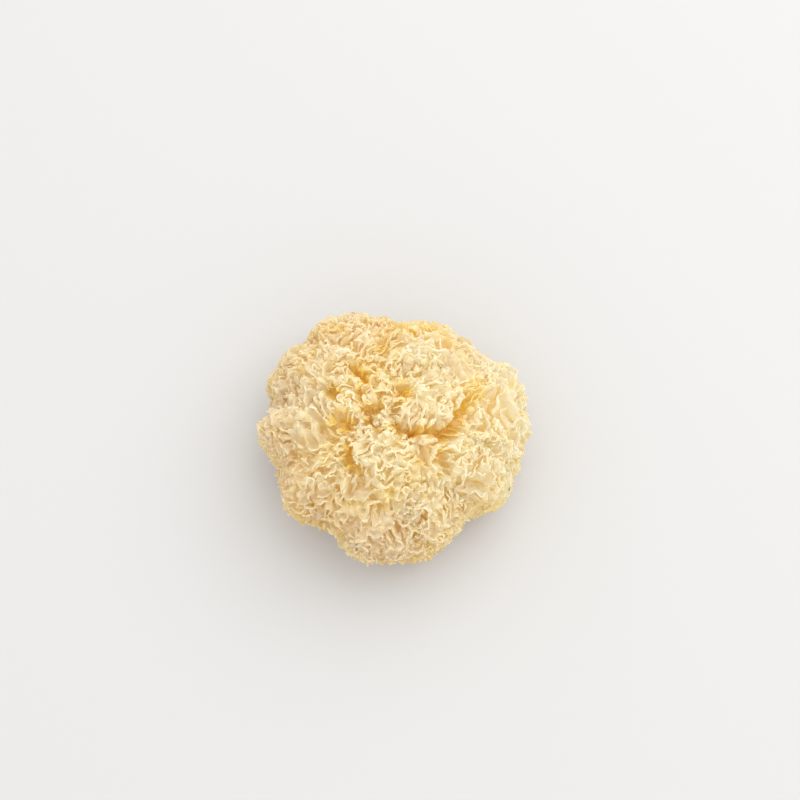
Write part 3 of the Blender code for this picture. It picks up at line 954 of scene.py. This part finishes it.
def frond_pieces(material):
    """All the papery sheets: wrinkled, given their thickness and shared out over the pieces."""
    points, triangles, share, amber_and_shading, side_shade = sheet_surface(grown_rows())
    depth = np.clip((share - ROOT_SHARE) / (1 - ROOT_SHARE), 0, 1)
    normal = point_normals(points, triangles)
    for number, (wavelength, height, power) in enumerate(CRINKLES):
        swing = soft_noise(points, wavelength, CRINKLE_SEED + number)
        points = points + normal * (swing * height * depth**power)[:, None]
    half = (SHEET_THICKNESS + (MARGIN_THICKNESS - SHEET_THICKNESS) * depth) / 2
    piece_of_point = shared_out(sheet_labels(triangles, len(points)))
    made = []
    for number in range(PIECES):
        own = triangles[piece_of_point[triangles[:, 0]] == number]
        used, compact = np.unique(own, return_inverse=True)
        both, walls = thickened(points[used], compact.reshape(-1, 3), half[used])
        looks = {"share": share[used], "amber_and_shading": amber_and_shading[used], "side_shade": side_shade[used]}
        looks["speck"] = specks_at(points[used], share[used])
        values = {label: np.tile(value, 2) for label, value in looks.items()}
        made.append(mesh_object(f"fronds_{number + 1}", both, walls, values, material))
    return made


def narrowing(polar):
    """How much the base has narrowed, 0 over the crown and 1 at the rim."""
    start, end = BASE_NARROWS
    return eased((polar - start) / (end - start))


def base_share(polar):
    """How far out the base goes: less low down, where the fronds stand free of it."""
    crown, rim = BASE_SHARES
    return crown + (rim - crown) * narrowing(polar)


def base_rows():
    """Rings of points over the base: (points, tone with painted shade and light, whether cut), from the
    crown round to the foot.
    """
    azimuth = np.arange(BASE_TURNS) / BASE_TURNS * 2 * math.pi
    level = np.stack([np.cos(azimuth), np.sin(azimuth), np.zeros(BASE_TURNS)], -1)
    up = np.array([0.0, 0.0, 1.0])
    rows = []
    for ring in range(1, CROWN_RINGS + 1):
        polar = lowest_angle(azimuth) * ring / CROWN_RINGS
        pale = 1 - RIM_DARKENING * narrowing(polar)
        rows.append((placed(directions_at(polar, azimuth), base_share(polar)), pale, 0.0))
    ribs = soft_noise(level * RIB_CIRCLE, RIB_LENGTH, RIB_SEED)
    rim = placed(directions_at(lowest_angle(azimuth), azimuth), BASE_SHARES[1] - RIM_SCALLOP * ribs)
    rows[-1] = (rim, pale, 0.0)
    wander = soft_noise(level * FOOT_RADIUS, FOOT_WANDER_LENGTH, FOOT_SEED)
    foot = level * (FOOT_RADIUS * (1 - FOOT_WANDER) + FOOT_RADIUS * FOOT_WANDER * wander)[:, None]
    for ring in range(1, UNDER_RINGS + 1):
        inwards = ring / UNDER_RINGS
        plain = rim * (1 - inwards) + foot * inwards
        ribs = soft_noise(level * RIB_CIRCLE + up * RIB_DRIFT * inwards, RIB_LENGTH, RIB_SEED)
        wrinkles = soft_noise(plain, WRINKLE_LENGTH, WRINKLE_SEED)
        fade = 1 - inwards**RIB_FADE_POWER
        height = UNDER_HOLLOW * math.sin(math.pi * inwards**HOLLOW_SKEW)
        height = height + (RIB_HEIGHT * ribs + WRINKLE_HEIGHT * wrinkles) * fade
        # Painted shade in the furrows and painted light on the ribs, with a paler band near the rim
        tone_and_shading = 0.5 - ribs / 2 + PALE_RIM * (1 - inwards) ** 2
        rows.append((plain + up * height[:, None], tone_and_shading, 0.0))
    for ring in range(1, FOOT_RINGS):
        face = foot * (1 - ring / FOOT_RINGS)
        open_parts = 0.5 + 0.5 * soft_noise(face, PORE_PATCHES, PORE_PATCH_SEED)
        pores = np.clip(soft_noise(face, PORE_LENGTH, PORE_SEED) - PORE_LEVEL, 0, 1) * open_parts
        cracks = np.zeros(BASE_TURNS)
        wavelength, swing = CRACK_BENDS
        bent = face + (swing * soft_noise(face, wavelength, CRACK_SEED))[:, None]
        for way, start, end in CUT_CRACKS:
            turn = math.radians(way)
            line = np.outer([start * MM, end * MM], [math.cos(turn), math.sin(turn)])
            away = np.linalg.norm(from_line(bent, line), axis=1)
            cracks = np.maximum(cracks, 1 - away / CRACK_HALF_WIDTH)
        depth = np.maximum(PORE_DEPTH * pores, CRACK_DEPTH * cracks)
        # Painted shade: the deeper a pore or crack, the darker
        rows.append((face + up * depth[:, None], np.clip(1 - depth / PORE_DEPTH, 0, 1), 1.0))
    return rows


def base_piece(material):
    """The flesh under the fronds: the crown that bears them, the ribbed underside and the cut foot."""
    rows = base_rows()
    crown = placed(np.array([[0.0, 0.0, 1.0]]), BASE_SHARES[0])
    points = np.concatenate([crown] + [row[0] for row in rows] + [np.zeros((1, 3))])
    tone_and_shading = np.concatenate([[1.0]] + [row[1] for row in rows] + [[1.0]])
    cut = np.concatenate([[0.0]] + [np.full(BASE_TURNS, row[2]) for row in rows] + [[1.0]])
    here = np.arange(BASE_TURNS)
    there = (here + 1) % BASE_TURNS
    triangles = [np.stack([np.zeros_like(here), 1 + here, 1 + there], -1)]
    for row in range(len(rows) - 1):
        outer, inner = 1 + row * BASE_TURNS, 1 + (row + 1) * BASE_TURNS
        triangles.append(np.stack([outer + here, inner + here, inner + there], -1))
        triangles.append(np.stack([outer + here, inner + there, outer + there], -1))
    last = 1 + (len(rows) - 1) * BASE_TURNS
    triangles.append(np.stack([last + here, np.full(BASE_TURNS, len(points) - 1), last + there], -1))
    values = {"tone_and_shading": tone_and_shading, "cut": cut}
    return mesh_object("base", points, np.concatenate(triangles), values, material)


class Nodes:
    """A short way to write a node tree: each call adds a node and links or sets its inputs.

    An input is given by its name, or by its number as _0, _1 and so on.
    """

    def __init__(self, material):
        material.use_nodes = True
        self.tree = material.node_tree
        self.tree.nodes.clear()

    def add(self, kind, settings=None, **inputs):
        node = self.tree.nodes.new("ShaderNode" + kind)
        for name, value in (settings or {}).items():
            setattr(node, name, value)
        for name, value in inputs.items():
            socket = node.inputs[int(name[1:]) if name[1:].isdigit() else name.replace("_", " ")]
            if isinstance(value, bpy.types.NodeSocket):
                self.tree.links.new(value, socket)
            else:
                socket.default_value = value
        return node

    def ramp(self, fac, stops):
        node = self.add("ValToRGB", Fac=fac)
        while len(node.color_ramp.elements) < len(stops):
            node.color_ramp.elements.new(0.5)
        for element, (place, colour) in zip(node.color_ramp.elements, stops):
            element.position = place
            element.color = (*colour, 1.0)
        return node.outputs["Color"]

    def attribute(self, name):
        return self.add("Attribute", {"attribute_name": name}).outputs["Fac"]

    def noise(self, place, scale, detail):
        return self.add("TexNoise", Vector=place, Scale=scale, Detail=detail).outputs["Fac"]

    def total(self, one, other):
        return self.add("Math", {"operation": "ADD"}, _0=one, _1=other).outputs[0]

    def scaled(self, value, strength, offset):
        settings = {"operation": "MULTIPLY_ADD"}
        return self.add("Math", settings, _0=value, _1=strength, _2=offset).outputs[0]

    def mixed(self, amount, one, other, blend="MIX"):
        settings = {"data_type": "RGBA", "blend_type": blend}
        return self.add("Mix", settings, _0=amount, _6=one, _7=other).outputs[2]

    def principled(self, place, colour, grain, gloss):
        scale, detail, strength, height = grain
        roughness, specular = gloss
        grains = self.noise(place, scale, detail)
        bump = self.add("Bump", Height=grains, Strength=strength, Distance=height).outputs["Normal"]
        settings = {"Base_Color": colour, "Roughness": roughness, "Specular_IOR_Level": specular}
        return self.add("BsdfPrincipled", Normal=bump, **settings).outputs["BSDF"]


def flesh_material():
    """Thin papery flesh, pale at the margins and amber at the roots, which lets light through, with
    painted shade in crevices, hollows, towards the rim and on the left, and painted light on the cushion
    tops.
    """
    material = bpy.data.materials.new("dried_flesh")
    nodes = Nodes(material)
    place = nodes.add("TexCoord").outputs["Object"]
    mottle = nodes.noise(place, *FLESH_MOTTLE)
    shifted = nodes.scaled(mottle, FLESH_MOTTLE_SHIFT, -FLESH_MOTTLE_SHIFT / 2)
    pale = nodes.ramp(nodes.total(nodes.attribute("share"), shifted), FLESH_STOPS)
    # Painted shade: darker and browner towards the rim and on the left, away from the lamp
    side_shaded = nodes.mixed(nodes.attribute("side_shade"), pale, (*SIDE_SHADE, 1.0), blend="DARKEN")
    uneven = nodes.scaled(nodes.noise(place, *CLOUD), CLOUD_STRENGTH, CLOUD_OFFSET)
    # The gold mixed in here is partly amber flesh and partly painted shade in crevices, hollows and
    # towards the rim; the paler patches are painted light
    amber_and_shading = nodes.total(nodes.attribute("amber_and_shading"), uneven)
    limits = {"From_Min": 0.0, "From_Max": FULL_GOLD, "To_Min": 0.0, "To_Max": 1.0}
    amount = nodes.add("MapRange", Value=amber_and_shading, **limits).outputs[0]
    clean = nodes.mixed(amount, side_shaded, (*GOLD, 1.0))
    colour = nodes.mixed(nodes.attribute("speck"), clean, (*SPECK_COLOUR, 1.0))
    surface = nodes.principled(place, colour, FLESH_GRAIN, FLESH_GLOSS)
    glow = nodes.add("BsdfTranslucent", Color=colour).outputs["BSDF"]
    both = nodes.add("MixShader", _0=TRANSLUCENCY, _1=surface, _2=glow).outputs["Shader"]
    nodes.add("OutputMaterial", Surface=both)
    return material


def base_material():
    """Hard amber flesh, darker in its furrows, pores and cracks as painted shade and paler on its ribs
    as painted light, with a paler porous face where it was cut.
    """
    material = bpy.data.materials.new("base_flesh")
    nodes = Nodes(material)
    place = nodes.add("TexCoord").outputs["Object"]
    mottle = nodes.noise(place, *BASE_MOTTLE)
    shifted = nodes.scaled(mottle, BASE_MOTTLE_SHIFT, -BASE_MOTTLE_SHIFT / 2)
    # The painted shade in furrows, pores and cracks and the painted light on the ribs come in through
    # this value
    level = nodes.total(nodes.attribute("tone_and_shading"), shifted)
    skin, face = nodes.ramp(level, SKIN_STOPS), nodes.ramp(level, CUT_STOPS)
    colour = nodes.mixed(nodes.attribute("cut"), skin, face)
    surface = nodes.principled(place, colour, BASE_GRAIN, BASE_GLOSS)
    nodes.add("OutputMaterial", Surface=surface)
    return material


def camera():
    data = bpy.data.cameras.new("camera")
    data.sensor_width = SENSOR_WIDTH
    data.angle = VIEW_ANGLE
    eye = bpy.data.objects.new("camera", data)
    bpy.context.collection.objects.link(eye)
    back = np.array([0.0, -math.cos(CAMERA_ELEVATION), math.sin(CAMERA_ELEVATION)])
    right = np.array([1.0, 0.0, 0.0])
    up = np.cross(back, right)
    aim = HEAD_MIDDLE + right * AIM_RIGHT + up * AIM_UP
    eye.location = aim + back * CAMERA_DISTANCE
    eye.rotation_euler = (math.radians(90) - CAMERA_ELEVATION, 0.0, 0.0)
    bpy.context.scene.camera = eye


def floor():
    mesh = bpy.data.meshes.new("floor")
    corners = [(FLOOR_SIDE * x, FLOOR_SIDE * y, 0) for x, y in ((-1, -1), (1, -1), (1, 1), (-1, 1))]
    mesh.from_pydata(corners, [], [(0, 1, 2, 3)])
    thing = bpy.data.objects.new("floor", mesh)
    thing.location.z = FLOOR_LEVEL
    bpy.context.collection.objects.link(thing)
    material = bpy.data.materials.new("floor")
    material.use_nodes = True
    shader = material.node_tree.nodes["Principled BSDF"]
    shader.inputs["Base Color"].default_value = FLOOR_COLOUR
    shader.inputs["Roughness"].default_value = FLOOR_ROUGHNESS
    mesh.materials.append(material)


def world():
    """Even light from all sides."""
    sky = bpy.data.worlds.new("studio")
    sky.use_nodes = True
    background = sky.node_tree.nodes["Background"]
    background.inputs["Color"].default_value = WORLD_COLOUR
    background.inputs["Strength"].default_value = WORLD_STRENGTH
    bpy.context.scene.world = sky


def key_light():
    """One large soft lamp from above, on the right and behind."""
    data = bpy.data.lights.new("key", "AREA")
    data.size = KEY_SIZE
    data.energy = KEY_POWER
    lamp = bpy.data.objects.new("key", data)
    bpy.context.collection.objects.link(lamp)
    lamp.location = KEY_PLACE
    way = Vector(KEY_AIM) - Vector(KEY_PLACE)
    lamp.rotation_euler = way.to_track_quat("-Z", "Y").to_euler()


scene = bpy.context.scene
scene.view_settings.view_transform = "Standard"
scene.view_settings.look = "Low Contrast"
scene.cycles.max_bounces = MOST_BOUNCES
scene.cycles.diffuse_bounces = MOST_SOFT_BOUNCES
scene.cycles.transmission_bounces = MOST_SOFT_BOUNCES

everything = frond_pieces(flesh_material()) + [base_piece(base_material())]
for thing in everything:
    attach(thing, "root")
    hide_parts("fruiting_body")
camera()
floor()
world()
key_light()
